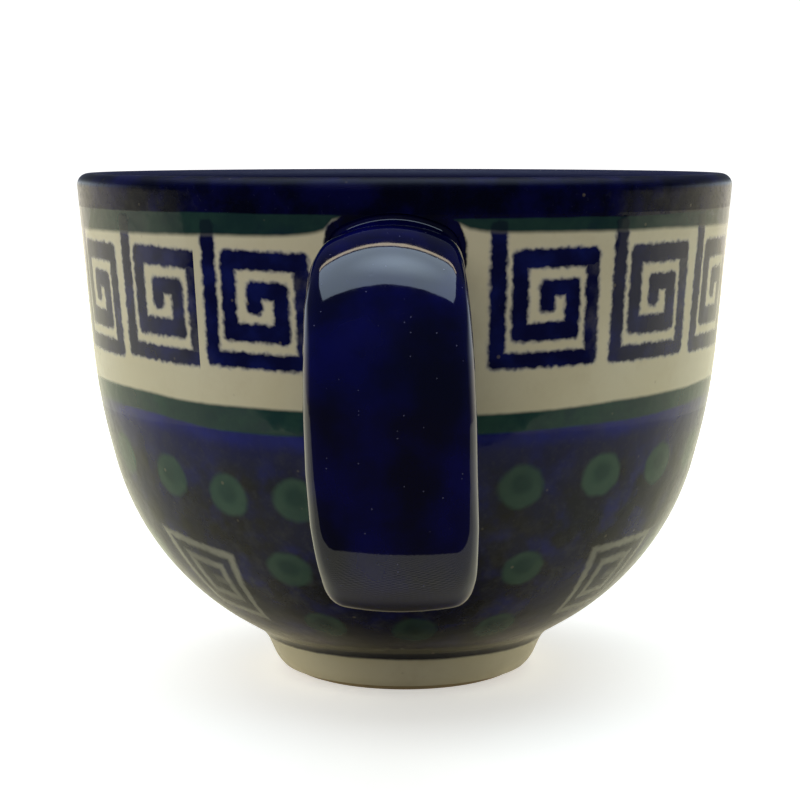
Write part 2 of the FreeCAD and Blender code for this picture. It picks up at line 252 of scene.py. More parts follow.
# Degrees from a tall stroke's left edge in which a face belongs to that key.
KEY_SPAN = (-1.6, 20.8)
KEYS = [
    (-165.1, 0.2, 0.1), (-142.4, -0.3, 0.0), (-119.7, 0.3, -0.2), (-97.0, 0.4, 0.1),
    (-74.3, 0.5, 0.3), (-52.7, 0.8, 0.3), (-32.6, 0.6, 0.0), (-10.6, 0.0, -0.2),
    (14.9, -0.4, -0.1), (37.0, -0.3, 0.2), (59.1, 0.0, 0.4), (81.2, 0.2, 0.2),
    (103.9, -0.2, 0.0), (126.7, 0.4, 0.2), (149.4, 0.1, -0.1), (172.2, -0.3, 0.1),
]
# Dots as (angle, height) above, and as angles in the pairs of the lower columns.
UPPER_DOTS = [
    (-62.7, 42.5), (-46.2, 40.5), (-32.2, 38.5), (-18.2, 38.5), (-4.0, 39.0), (9.0, 40.0),
    (22.0, 40.8), (38.7, 41.6), (54.7, 42.0), (70.2, 42.5), (86.4, 42.2), (102.7, 41.6),
    (119.1, 41.9), (135.4, 42.4), (151.9, 42.0), (168.2, 41.2), (-175.6, 41.0),
    (-159.4, 41.5), (-143.2, 42.1), (-127.2, 41.7), (-111.1, 41.2), (-95.2, 41.8),
    (-79.0, 42.3),
]
LOWER_DOTS = [-22.7, 1.0, 25.7, 70.0, 92.0, 114.5, 159.5, -178.0, -156.5, -112.0, -90.0, -67.5]
# Square spirals as (angle, rise in millimetres for each degree to the right).
SPIRALS = [(-45.6, -0.14), (52.3, 0.05), (137.0, 0.03), (-134.0, -0.05)]
SPIRAL_HEIGHT, SPIRAL_HALF = 22.3, 6.8
# Degrees from a spiral's middle to its side, and how many more for each millimetre up.
SPIRAL_HALF_TURN, SPIRAL_FAN = 9.0, 0.2
# Half width and half height of the dots in the three rows, and the lower rows' heights.
UPPER_DOT, MIDDLE_DOT, LOW_DOT = (4.0, 3.7), (3.9, 3.2), (3.8, 2.8)
MIDDLE_ROW, LOW_ROW = 26.0, 15.0
# Kinds of mark. A face that no mark covers keeps kind 0 and a place far outside.
KEY, DOT, SPIRAL = 1, 2, 3
FAR_OUTSIDE = 99.0


def turn_from(angle, origin):
    """Angle from origin, between -180 and 180 degrees."""
    return (angle - origin + 180) % 360 - 180


def stamped(points):
    """Where each face corner of the outside lies in the nearest stamped mark."""
    step = 360 / FACES_ROUND
    rows = len(points) - 1
    top, low = points[:-1, 1], points[1:, 1]
    left = SEAM + np.arange(FACES_ROUND) * step
    height = np.stack([top, low, low, top], axis=1)[:, None, :] * np.ones((1, FACES_ROUND, 1))
    angle = np.stack([left, left, left + step, left + step], axis=1)[None] * np.ones((rows, 1, 1))
    radius = wall_radius(height)
    centre_angle = angle.mean(axis=2)
    centre_height = height.mean(axis=2)
    places = np.full((rows, FACES_ROUND, 4, 2), FAR_OUTSIDE)
    kinds = np.zeros((rows, FACES_ROUND))
    shades = np.zeros((rows, FACES_ROUND))

    in_keys = (centre_height > KEY_FOOT - 4) & (centre_height < KEY_TOP + 1.5)
    for start, fall, lift in KEYS:
        chosen = in_keys & (turn_from(centre_angle, start) > KEY_SPAN[0])
        chosen &= turn_from(centre_angle, start) < KEY_SPAN[1]
        across = np.radians(turn_from(angle, start)) * radius
        up = height - KEY_FOOT - lift + fall * across / KEY_WIDTH
        places[chosen] = np.stack([across, up], axis=3)[chosen]
        kinds[chosen] = KEY
        shades[chosen] = RNG.random()

    nearest = np.full((rows, FACES_ROUND), 1.6)
    marks = [(a, h, *UPPER_DOT, DOT, 0) for a, h in UPPER_DOTS]
    for a in LOWER_DOTS:
        marks.append((a, MIDDLE_ROW + RNG.uniform(-0.5, 0.5), *MIDDLE_DOT, DOT, 0))
        aside = a + RNG.uniform(-1, 3)
        marks.append((aside, LOW_ROW + RNG.uniform(-0.4, 0.4), *LOW_DOT, DOT, 0))
    marks += [(a, SPIRAL_HEIGHT, None, SPIRAL_HALF, SPIRAL, rise) for a, rise in SPIRALS]
    for a, h, half_width, half_height, kind, rise in marks:
        turned_by = turn_from(centre_angle, a)[..., None] + angle - centre_angle[..., None]
        if kind == SPIRAL:
            across = turned_by / (SPIRAL_HALF_TURN + SPIRAL_FAN * (height - h))
        else:
            across = np.radians(turned_by) * radius / half_width / RNG.uniform(0.95, 1.05)
        up = (height - h - rise * turned_by) / half_height
        sides = abs(across.mean(axis=2)), abs(up.mean(axis=2))
        if kind == SPIRAL:
            apart = np.where(np.maximum(*sides) < 1.2, np.maximum(*sides) * 0.5, 9)
        else:
            apart = np.hypot(*sides)
        chosen = apart < nearest
        places[chosen] = np.stack([across, up], axis=3)[chosen]
        kinds[chosen] = kind
        shades[chosen] = RNG.random()
        nearest = np.minimum(nearest, apart)
    return places, kinds, shades


# ---------------------------------------------------------------- handle

# Centre line of the strap: level out of the wall, three tangent arcs, level back in.
UPPER_BEND = (-67.2, 62.5, 16.0)
GRIP = (11.1, 52.0, 95.0)
LOWER_BEND = (-72.3, 42.0, 11.0)
GRIP_TOP, GRIP_FOOT = 172.36, 186.84
STRAP_EDGE = 3.1
INNER_DOME = 55.0
SLIP_ROUND = 1.7
# Width of the glazed strap and how far it sits to the +X side, along the centre line:
# station 0 is the upper end of the bend and 1 the lower end.
STATIONS = [0.0, 0.12, 0.25, 0.38, 0.5, 0.62, 0.74, 0.86, 1.0]
WIDTHS = [20.8, 22.4, 23.6, 24.2, 24.5, 24.4, 24.0, 22.6, 21.0]
SHIFTS = [-0.5, -0.8, -0.7, -0.4, -0.2, 0.0, 0.4, 0.9, 0.9]
DOMES = [20.0, 22.0, 25.0, 28.0, 30.0, 30.0, 34.0, 45.0, 45.0]
# The strap narrows towards the wall to these shares of its width.
UPPER_ROOT_SHARE = 0.89
LOWER_ROOT_SHARE = 1.0
# How far the clay's outer face stands off the centre line.
CROWNS = [3.9, 4.0, 4.25, 4.45, 4.5, 4.5, 4.5, 4.4, 4.2]
# Points on each dome and each rounded edge of a section, and along each straight root.
DOME_STEPS, EDGE_STEPS, ROOT_STEPS = 28, 14, 14
# How far a root's outer edge is sunk into the wall's glaze.
SUNK_EDGE = 0.03


def centre_line(count=120):
    """Points and outward normals of the bent part, with their stations."""
    legs = [
        (UPPER_BEND, 90, GRIP_TOP), (GRIP, GRIP_TOP, GRIP_FOOT), (LOWER_BEND, GRIP_FOOT, 270),
    ]
    lengths = [leg[0][2] * math.radians(leg[2] - leg[1]) for leg in legs]
    rows = []
    travelled = 0
    for (circle, first, last), length in zip(legs, lengths):
        steps = round(count * length / sum(lengths))
        for i in range(steps):
            angle = math.radians(first + (last - first) * i / steps)
            out = (math.cos(angle), math.sin(angle))
            point = (circle[0] + circle[2] * out[0], circle[1] + circle[2] * out[1])
            rows.append((point, out, (travelled + length * i / steps) / sum(lengths)))
        travelled += length
    rows.append(((LOWER_BEND[0], LOWER_BEND[1] - LOWER_BEND[2]), (0.0, -1.0), 1.0))
    return rows


def strap_section(station, spread):
    """Points (across, outward) round the strap's section, which is two shallow domes."""
    width = np.interp(station, STATIONS, WIDTHS)
    edge = STRAP_EDGE + spread
    centre = width / 2 - STRAP_EDGE - GLAZE
    domes = {1: np.interp(station, STATIONS, DOMES), -1: INNER_DOME}
    half = {side: math.asin(centre / (domes[side] - STRAP_EDGE)) for side in (1, -1)}
    section = []
    for side, dome in domes.items():
        sunk = -(dome - STRAP_EDGE) * math.cos(half[side])
        for i in range(DOME_STEPS):
            lean = half[side] * (1 - 2 * i / DOME_STEPS)
            section.append((
                side * math.sin(lean) * (dome + spread),
                side * (sunk + math.cos(lean) * (dome + spread)),
            ))
        start = math.pi / 2 + half[side]
        end = 3 * math.pi / 2 - half[-side]
        for i in range(EDGE_STEPS):
            turn = start + (end - start) * i / EDGE_STEPS
            section.append((
                side * (-centre + math.cos(turn) * edge),
                side * math.sin(turn) * edge,
            ))
    section = np.array(section)
    crown = domes[1] - (domes[1] - STRAP_EDGE) * math.cos(half[1])
    section[:, 1] += np.interp(station, STATIONS, CROWNS) - crown
    section[:, 0] += np.interp(station, STATIONS, SHIFTS)
    return section


def meets_wall(x, z):
    """Where a level line at x and z, running back from the handle, meets the outside."""
    return np.array([x, -math.sqrt(wall_radius(z) ** 2 - x * x), z])


def root_flare(x, z, outward, spread, count=9):
    """Points from the wall out along a fillet to one of the strap's level lines.

    outward is the section's own normal there, level with the strap's cross-section.
    """
    corner = meets_wall(x, z)
    normal = wall_normal(corner)
    strap = np.array([0.0, -1.0, 0.0])
    side = np.array([outward[0], 0.0, outward[1]])
    wall = side * strap.dot(normal) - strap * side.dot(normal)
    wall /= np.linalg.norm(wall)
    opening = math.acos(strap.dot(wall))
    radius = SLIP_ROUND - spread
    reach = radius / math.tan(opening / 2)
    middle = (strap + wall) / np.linalg.norm(strap + wall)
    centre = corner + middle * radius / math.sin(opening / 2)
    from_wall = corner + wall * reach - centre
    to_strap = corner + strap * reach - centre
    between = math.acos(np.clip(from_wall.dot(to_strap) / radius ** 2, -1, 1))
    points = []
    for i in range(count):
        share = i / (count - 1)
        first = math.sin((1 - share) * between) / math.sin(between)
        second = math.sin(share * between) / math.sin(between)
        point = centre + from_wall * first + to_strap * second
        level = wall_radius(point[2]) - math.hypot(point[0], point[1])
        if share < 1:
            lift = (level + (spread if share == 0 else 0)) * (1 - share) ** 2
            point = point + normal * (lift - SUNK_EDGE * (1 - share) ** 4)
        points.append(point)
    return points


def handle_grid(spread):
    """The strap with its flared roots, grown all round by spread from the clay."""
    rows = centre_line()
    body = []
    for (y, z), (out_y, out_z), station in rows:
        section = strap_section(station, spread)
        level, raised = y + section[:, 1] * out_y, z + section[:, 1] * out_z
        body.append(np.stack([section[:, 0], level, raised], axis=1))
    ends = []
    for row, out_z, share in ((0, 1.0, UPPER_ROOT_SHARE), (-1, -1.0, LOWER_ROOT_SHARE)):
        section = strap_section(rows[row][2], spread)
        beside = np.roll(section, -1, axis=0) - np.roll(section, 1, axis=0)
        normal = np.stack([-beside[:, 1], beside[:, 0]], axis=1)
        normal /= np.linalg.norm(normal, axis=1, keepdims=True)
        if (normal * (section - section.mean(axis=0))).sum() < 0:
            normal = -normal
        lines = []
        for k in range(len(section)):
            x, y_last, z = body[row][k]
            flare = root_flare(x * share, z, (normal[k, 0], normal[k, 1] * out_z), spread)
            y_first = flare[-1][1]
            run = []
            for i in range(1, ROOT_STEPS):
                along = i / ROOT_STEPS
                eased = share + (1 - share) * along * along * (3 - 2 * along)
                run.append(np.array([x * eased, y_first + (y_last - y_first) * along, z]))
            lines.append(flare + run)
        ends.append(np.array(lines).transpose(1, 0, 2))
    return np.concatenate([ends[0], np.array(body), ends[1][::-1]])


# ---------------------------------------------------------------- shader helpers

def tint(red, green, blue):
    """A colour seen on a screen as 0-255 levels, as the shader's linear values."""
    levels = []
    for level in (red, green, blue):
        share = level / 255
        levels.append(share / 12.92 if share <= 0.04045 else ((share + 0.055) / 1.055) ** 2.4)
    return (*levels, 1.0)


class Nodes:
    """Short calls that add and join the nodes of one tree."""

    def __init__(self, tree):
        self.tree = tree

    def add(self, kind, **settings):
        made = self.tree.nodes.new(kind)
        for key, value in settings.items():
            setattr(made, key, value)
        return made

    def feed(self, socket, value):
        if isinstance(value, bpy.types.NodeSocket):
            self.tree.links.new(value, socket)
        else:
            socket.default_value = value

    def math(self, operation, *values, clamp=False):
        made = self.add("ShaderNodeMath", operation=operation, use_clamp=clamp)
        for socket, value in zip(made.inputs, values):
            self.feed(socket, value)
        return made.outputs[0]

    def vector(self, operation, *values):
        made = self.add("ShaderNodeVectorMath", operation=operation)
        inputs = [s for s in made.inputs if s.type == "VECTOR"]
        if operation == "SCALE":
            inputs = [made.inputs["Vector"], made.inputs["Scale"]]
        for socket, value in zip(inputs, values):
            self.feed(socket, value)
        return made.outputs["Value" if operation in ("LENGTH", "DISTANCE") else "Vector"]

    def smooth(self, value, low, high):
        """0 below low, 1 above high, and a smooth step between."""
        made = self.add("ShaderNodeMapRange", interpolation_type="SMOOTHSTEP")
        self.feed(made.inputs["Value"], value)
        self.feed(made.inputs["From Min"], low)
        self.feed(made.inputs["From Max"], high)
        return made.outputs["Result"]

    def noise(self, place, size, detail=2.0, roughness=0.5):
        """Cloudy noise about 0.5, with features of about the given size in millimetres."""
        made = self.add("ShaderNodeTexNoise", noise_dimensions="3D")
        self.feed(made.inputs["Vector"], place)
        made.inputs["Scale"].default_value = 1 / size
        made.inputs["Detail"].default_value = detail
        made.inputs["Roughness"].default_value = roughness
        return made.outputs["Fac"]

    def specks(self, place, size, share):
        """1 in small round specks, in about that share of the cells of the given size."""
        edge, core = 0.16, 0.056
        made = self.add("ShaderNodeTexVoronoi", voronoi_dimensions="3D")
        self.feed(made.inputs["Vector"], place)
        made.inputs["Scale"].default_value = 1 / size
        chance = self.add("ShaderNodeSeparateColor")
        self.feed(chance.inputs[0], made.outputs["Color"])
        chosen = self.math("LESS_THAN", chance.outputs[0], share)
        near = self.smooth(made.outputs["Distance"], edge, core)
        return self.math("MULTIPLY", chosen, near)

    def mix(self, amount, under, over):
        made = self.add("ShaderNodeMix", data_type="RGBA")
        self.feed(made.inputs["Factor"], amount)
        self.feed(made.inputs["A"], under)
        self.feed(made.inputs["B"], over)
        return made.outputs["Result"]

    def along(self, angle, points):
        """A value that follows (angle, value) points round the mug, and closes at the back."""
        lowest = min(v for _, v in points) - 0.5
        highest = max(v for _, v in points) + 0.5
        made = self.add("ShaderNodeFloatCurve")
        curve = made.mapping.curves[0]
        spots = [((a + 180) / 360, (v - lowest) / (highest - lowest)) for a, v in points]
        curve.points[0].location = (0, spots[0][1])
        curve.points[1].location = (1, spots[0][1])
        for spot in spots:
            curve.points.new(*spot)
        made.mapping.update()
        self.feed(made.inputs["Value"], self.math("MULTIPLY_ADD", angle, 1 / 360, 0.5))
        return self.math("MULTIPLY_ADD", made.outputs[0], highest - lowest, lowest)

    def bar(self, place, left, right, low, high, round_by=0.7):
        """Distance outside a bar with rounded corners."""
        middle = ((left + right) / 2, (low + high) / 2, 0)
        half = ((right - left) / 2 - round_by, (high - low) / 2 - round_by, 1)
        inside = self.vector("SUBTRACT", place, middle)
        inside = self.vector("SUBTRACT", self.vector("ABSOLUTE", inside), half)
        outside = self.vector("MAXIMUM", inside, (0, 0, 0))
        return self.math("SUBTRACT", self.vector("LENGTH", outside), round_by)

    def relief(self, height, strength):
        """A surface normal raised by a height in millimetres."""
        made = self.add("ShaderNodeBump")
        made.inputs["Strength"].default_value = strength
        made.inputs["Distance"].default_value = MM
        self.feed(made.inputs["Height"], height)
        return made.outputs[0]


def in_millimetres(nodes):
    """The place on the object, in millimetres in the mug's frame."""
    place = nodes.add("ShaderNodeTexCoord").outputs["Object"]
    return nodes.vector("SCALE", place, 1 / MM)


def attribute(nodes, name):
    return nodes.add("ShaderNodeAttribute", attribute_name=name).outputs["Fac"]


# ---------------------------------------------------------------- painted decoration

# The key: bars as (left, right, low, high) from the foot of the tall stroke.
KEY_BARS = [
    (0.0, 2.15, 0.0, 22.6), (0.0, KEY_WIDTH, 0.0, 2.0), (3.7, KEY_WIDTH, 15.5, 18.0),
    (3.6, 5.8, 4.2, 17.8), (3.7, 14.9, 4.2, 6.6), (12.7, 14.9, 4.2, 13.2),
    (8.2, 14.9, 11.0, 13.2), (8.2, 10.4, 8.6, 13.2),
]
KEY_OUTER_BAR = (16.4, KEY_WIDTH, 0.0, 18.0)
COBALT = tint(14, 24, 90)
DEEP_COBALT = tint(5, 10, 58)
CREAM = tint(221, 217, 199)
WARM_CREAM = tint(205, 197, 168)
RING_PITCH = 4.5


def key_paint(nodes, mark, place):
    """How much cobalt the stamped keys leave, and how far it has bled into the glaze."""
    tremble = nodes.add("ShaderNodeTexNoise", noise_dimensions="3D")
    nodes.feed(tremble.inputs["Vector"], place)
    tremble.inputs["Scale"].default_value = 1 / 1.1
    tremble.inputs["Detail"].default_value = 1.0
    shake = nodes.vector("SUBTRACT", tremble.outputs["Color"], (0.5, 0.5, 0.5))
    mark = nodes.vector("ADD", mark, nodes.vector("MULTIPLY", shake, (0.9, 0.9, 0)))
    nearest = nodes.bar(mark, *KEY_BARS[0])
    for bar in KEY_BARS[1:]:
        nearest = nodes.math("MINIMUM", nearest, nodes.bar(mark, *bar))
    outer = nodes.bar(mark, *KEY_OUTER_BAR)
    full = nodes.smooth(nearest, 0.6, -0.08)
    thin = nodes.smooth(outer, 0.6, -0.08)
    uneven = nodes.smooth(nodes.noise(place, 3.0, 3), 0.2, 0.62)
    thin = nodes.math("MULTIPLY", thin, nodes.math("MULTIPLY_ADD", uneven, 0.12, 0.88))
    bled = nodes.smooth(nodes.math("MINIMUM", nearest, outer), 0.9, 0.0)
    return nodes.math("MAXIMUM", full, thin), bled


def decoration():
    """The node group of everything painted on the outside: colour, height and gloss."""
    tree = bpy.data.node_groups.new("mug_decoration", "ShaderNodeTree")
    for label, kind in (("Color", "Color"), ("Height", "Float"), ("Thin", "Float")):
        tree.interface.new_socket(label, in_out="OUTPUT", socket_type="NodeSocket" + kind)
    nodes = Nodes(tree)
    place = in_millimetres(nodes)
    parts = nodes.add("ShaderNodeSeparateXYZ")
    nodes.feed(parts.inputs[0], place)
    x, y, z = parts.outputs
    angle = nodes.math("ARCTAN2", x, nodes.math("MULTIPLY", y, -1))
    angle = nodes.math("MULTIPLY", angle, 180 / math.pi)
    mark = nodes.add("ShaderNodeUVMap", uv_map="mark").outputs[0]
    kind = attribute(nodes, "kind")
    shade = attribute(nodes, "shade")

    cloud = nodes.noise(place, 14, 3)
    blotch = nodes.noise(place, 7, 4, 0.6)
    patch = nodes.noise(place, 5.5, 3, 0.5)
    grain = nodes.noise(place, 0.9, 2)
    wave = nodes.math("MULTIPLY_ADD", nodes.noise(place, 16, 2), 1.6, -0.8)
    ripple = nodes.math("MULTIPLY_ADD", nodes.noise(place, 1.8, 2), 0.5, -0.25)
    wobble = nodes.math("ADD", wave, ripple)
    tight = nodes.math("MULTIPLY_ADD", wobble, 0.35, z)

    cream = nodes.mix(cloud, WARM_CREAM, CREAM)
    stained = nodes.math("MULTIPLY", nodes.smooth(blotch, 0.45, 0.85), 0.4)
    cream = nodes.mix(stained, cream, tint(190, 178, 146))

    # Sponged field: navy over olive brown, and bluer where the colour pooled higher up.
    field = nodes.mix(nodes.smooth(blotch, 0.36, 0.66), tint(18, 21, 58), tint(27, 26, 28))
    field = nodes.mix(nodes.smooth(cloud, 0.48, 0.7), field, tint(16, 21, 36))
    bright = nodes.math("MULTIPLY", nodes.smooth(patch, 0.46, 0.78), 0.8)
    field = nodes.mix(bright, field, tint(25, 31, 106))
    pooled = nodes.math("MULTIPLY_ADD", cloud, 9.0, z)
    pooled = nodes.math("MULTIPLY_ADD", patch, 5.0, pooled)
    pooled = nodes.math("MULTIPLY", nodes.smooth(pooled, 48.0, 56.5), 0.85)
    field = nodes.mix(pooled, field, tint(15, 20, 86))
    low_in_field = nodes.math("MULTIPLY", nodes.smooth(z, 19.0, 11.0), 0.12)
    field = nodes.mix(low_in_field, field, tint(58, 58, 54))
    dabs = nodes.smooth(nodes.noise(place, 2.6, 3, 0.6), 0.44, 0.74)
    more_below = nodes.math("MULTIPLY_ADD", nodes.smooth(z, 44, 18), 0.3, 0.2)
    dabs = nodes.math("MULTIPLY", dabs, more_below)
    field = nodes.mix(dabs, field, tint(62, 64, 72))
    field = nodes.mix(nodes.smooth(grain, 0.5, 1.3), field, tint(62, 62, 72))

    # Dots and square spirals over the field.
    spread = nodes.math("MULTIPLY_ADD", nodes.noise(place, 2.4, 2), 0.22, -0.11)
    across = nodes.math("ADD", nodes.vector("LENGTH", mark), spread)
    is_dot = nodes.math("COMPARE", kind, DOT, 0.3)
    is_spiral = nodes.math("COMPARE", kind, SPIRAL, 0.3)
    is_key = nodes.math("COMPARE", kind, KEY, 0.3)
    dot = nodes.math("MULTIPLY", is_dot, nodes.smooth(across, 1.12, 0.8))
    faint = nodes.math("MULTIPLY_ADD", nodes.smooth(z, 12, 24), 0.2, 0.72)
    faint = nodes.math("MULTIPLY", faint, nodes.math("MULTIPLY_ADD", shade, 0.3, 0.85))
    dot = nodes.math("MULTIPLY", dot, faint, clamp=True)
    off_centre = nodes.vector("ADD", mark, (0.02, -0.12, 0))
    core = nodes.smooth(nodes.math("ADD", nodes.vector("LENGTH", off_centre), spread), 0.7, 0.22)
    green = nodes.mix(core, tint(56, 85, 75), tint(35, 66, 62))
    green = nodes.mix(nodes.smooth(patch, 0.4, 0.7), green, tint(45, 74, 68))
    field = nodes.mix(dot, field, green)

    sides = nodes.add("ShaderNodeSeparateXYZ")
    nodes.feed(sides.inputs[0], mark)
    shake = nodes.math("MULTIPLY_ADD", nodes.noise(place, 1.6, 2), 0.12, -0.06)
    square = nodes.math(
        "MAXIMUM",
        nodes.math("ABSOLUTE", sides.outputs[0]),
        nodes.math("ABSOLUTE", sides.outputs[1]),
    )
    square = nodes.math("ADD", square, shake)
    outer = nodes.math(
        "MULTIPLY", nodes.smooth(square, 1.08, 0.94), nodes.smooth(square, 0.74, 0.88)
    )
    inner = nodes.math(
        "MULTIPLY", nodes.smooth(square, 0.64, 0.5), nodes.smooth(square, 0.28, 0.44)
    )
    hook = nodes.smooth(nodes.bar(mark, 0.0, 0.46, -0.1, 0.06, 0.05), 0.12, -0.04)
    lines = nodes.math("MAXIMUM", outer, nodes.math("MULTIPLY", inner, 0.85))
    lines = nodes.math("MAXIMUM", lines, nodes.math("MULTIPLY", hook, 0.4))
    worn = nodes.math("MULTIPLY_ADD", nodes.smooth(blotch, 0.3, 0.6), -0.3, 1.0)
    lines = nodes.math("MULTIPLY", nodes.math("MULTIPLY", lines, is_spiral), worn)
    between = nodes.math("MULTIPLY", is_spiral, nodes.smooth(square, 1.02, 0.98))
    field = nodes.mix(nodes.math("MULTIPLY", between, 0.5), field, tint(58, 60, 66))
    field = nodes.mix(lines, field, tint(146, 147, 140))

    # Lower edge of the field: an olive line, a navy line, then the bare cream foot.
    foot = nodes.mix(nodes.smooth(tight, 8.6, 8.1), tint(84, 82, 70), tint(20, 25, 44))
    foot = nodes.mix(nodes.smooth(tight, 7.3, 6.7), foot, cream)
    field = nodes.mix(nodes.smooth(tight, 10.1, 9.5), field, foot)

    # Blue strip and green band over the field's top, keys and green band over the cream.
    green_band = nodes.mix(nodes.smooth(blotch, 0.35, 0.7), tint(28, 58, 60), tint(42, 74, 68))
    green_band = nodes.mix(nodes.smooth(patch, 0.5, 0.8), green_band, tint(26, 50, 64))
    low_top = nodes.along(angle, [
        (-150, 54.0), (-100, 54.4), (-60, 54.7), (-40, 53.8), (-20, 53.4), (12, 53.0),
        (40, 53.9), (60, 54.3), (75, 54.8), (110, 54.2), (150, 53.8),
    ])
    low_foot = nodes.along(angle, [
        (-150, 50.4), (-100, 51.0), (-60, 51.3), (-40, 50.2), (-20, 49.2), (12, 49.8),
        (40, 50.5), (60, 51.3), (75, 51.8), (110, 51.0), (150, 50.2),
    ])
    above_field = nodes.math("SUBTRACT", tight, low_foot)
    strip = nodes.smooth(nodes.math("ADD", above_field, ripple), -3.4, -0.8)
    pooling = nodes.math("MULTIPLY_ADD", nodes.smooth(patch, 0.35, 0.65), 0.45, 0.4)
    field = nodes.mix(nodes.math("MULTIPLY", strip, pooling), field, tint(20, 30, 124))
    colour = nodes.mix(nodes.smooth(above_field, -0.35, 0.35), field, green_band)
    over_green = nodes.math("SUBTRACT", tight, low_top)
    colour = nodes.mix(nodes.smooth(over_green, -0.35, 0.4), colour, cream)

    high_foot = nodes.along(angle, [
        (-150, 80.6), (-90, 80.2), (-60, 80.3), (-22, 80.5), (-11, 81.6), (-8, 83.4),
        (7, 83.0), (12, 81.6), (20, 81.1), (60, 81.1), (100, 80.8), (150, 80.5),
    ])
    rim_foot = nodes.along(angle, [
        (-150, 83.8), (-60, 83.9), (-12, 83.9), (0, 83.2), (15, 83.3), (40, 83.3),
        (60, 83.7), (120, 83.9),
    ])
    above_keys = nodes.smooth(nodes.math("SUBTRACT", tight, high_foot), -0.5, 0.5)
    dark_green = nodes.mix(0.4, green_band, tint(8, 24, 34))
    colour = nodes.mix(above_keys, colour, dark_green)
    paint, bled = key_paint(nodes, mark, place)
    paint = nodes.math("MULTIPLY", paint, is_key)
    bled = nodes.math("MULTIPLY", bled, nodes.math("MULTIPLY", is_key, 0.5))
    bled = nodes.math("MULTIPLY", bled, nodes.math("SUBTRACT", 1.0, above_keys))
    ink = nodes.mix(nodes.smooth(patch, 0.4, 0.75), DEEP_COBALT, COBALT)
    ink = nodes.mix(above_keys, ink, tint(6, 14, 40))
    colour = nodes.mix(bled, colour, tint(120, 128, 160))
    under_green = nodes.math("MULTIPLY_ADD", above_keys, -0.35, 1.0)
    colour = nodes.mix(nodes.math("MULTIPLY", paint, under_green), colour, ink)
    above_green = nodes.smooth(nodes.math("SUBTRACT", tight, rim_foot), -0.2, 0.2)
    rim = nodes.mix(nodes.smooth(blotch, 0.4, 0.7), tint(2, 4, 26), tint(6, 8, 60))
    colour = nodes.mix(above_green, colour, rim)

    # Cobalt brushed on round the handle's two roots.
    front = nodes.math("LESS_THAN", y, 0)
    brushed = nodes.math("MULTIPLY", ripple, 2.0)
    for centre_x, centre_z, half_width, half_height in (
        (-0.2, 78.4, 10.8, 5.6), (0.9, 30.4, 12.0, 5.4),
    ):
        from_root = nodes.add("ShaderNodeSeparateXYZ")
        nodes.feed(
            from_root.inputs[0], nodes.vector("SUBTRACT", place, (centre_x, 0, centre_z))
        )
        flat = nodes.add("ShaderNodeCombineXYZ")
        nodes.feed(flat.inputs[0], from_root.outputs[0])
        nodes.feed(flat.inputs[1], from_root.outputs[2])
        edge = nodes.bar(
            flat.outputs[0], -half_width, half_width, -half_height, half_height, 4.5
        )
        near = nodes.smooth(nodes.math("ADD", edge, brushed), 0.35, -0.1)
        colour = nodes.mix(nodes.math("MULTIPLY", near, front), colour, rim)

    pits = nodes.specks(place, 2.6, 0.14)
    colour = nodes.mix(nodes.math("MULTIPLY", pits, 0.3), colour, tint(150, 140, 118))
    ends = nodes.add("NodeGroupOutput")
    nodes.feed(ends.inputs["Color"], colour)
    swell = nodes.math("MULTIPLY_ADD", cloud, 0.5, nodes.math("MULTIPLY", blotch, 0.12))
    swell = nodes.math("MULTIPLY_ADD", paint, 0.03, swell)
    swell = nodes.math("MULTIPLY_ADD", pits, -0.05, swell)
    nodes.feed(ends.inputs["Height"], nodes.math("MULTIPLY_ADD", grain, 0.008, swell))
    lip = nodes.smooth(z, 87.6, 88.8)
    thin = nodes.math("MULTIPLY", nodes.smooth(grain, 0.35, 0.8), 0.5)
    nodes.feed(ends.inputs["Thin"], nodes.math("MAXIMUM", thin, lip))
    return tree


# ---------------------------------------------------------------- materials

def glossy(nodes, colour, height, roughness, coat=0.0, specular=0.35):
    """Make a material's surface a glaze: the colour under a clear, almost even layer."""
    shader = nodes.tree.nodes["Principled BSDF"]
    nodes.feed(shader.inputs["Base Color"], colour)
    nodes.feed(shader.inputs["Roughness"], roughness)
    nodes.feed(shader.inputs["Normal"], nodes.relief(height, 0.35))
    shader.inputs["IOR"].default_value = 1.5
    shader.inputs["Specular IOR Level"].default_value = specular
    shader.inputs["Coat Weight"].default_value = coat
    shader.inputs["Coat Roughness"].default_value = 0.03
    shader.inputs["Coat IOR"].default_value = 1.5


def new_material(name):
    material = bpy.data.materials.new(name)
    material.use_nodes = True
    return material, Nodes(material.node_tree)


def decorated(name, group, low, high, specular):
    """Clear glaze over the painted decoration, with roughness between two limits."""
    material, nodes = new_material(name)
    painted = nodes.add("ShaderNodeGroup", node_tree=group)
    roughness = nodes.math("MULTIPLY_ADD", painted.outputs["Thin"], high - low, low)
    colour, height = painted.outputs["Color"], painted.outputs["Height"]
    glossy(nodes, colour, height, roughness, specular=specular)
    return material


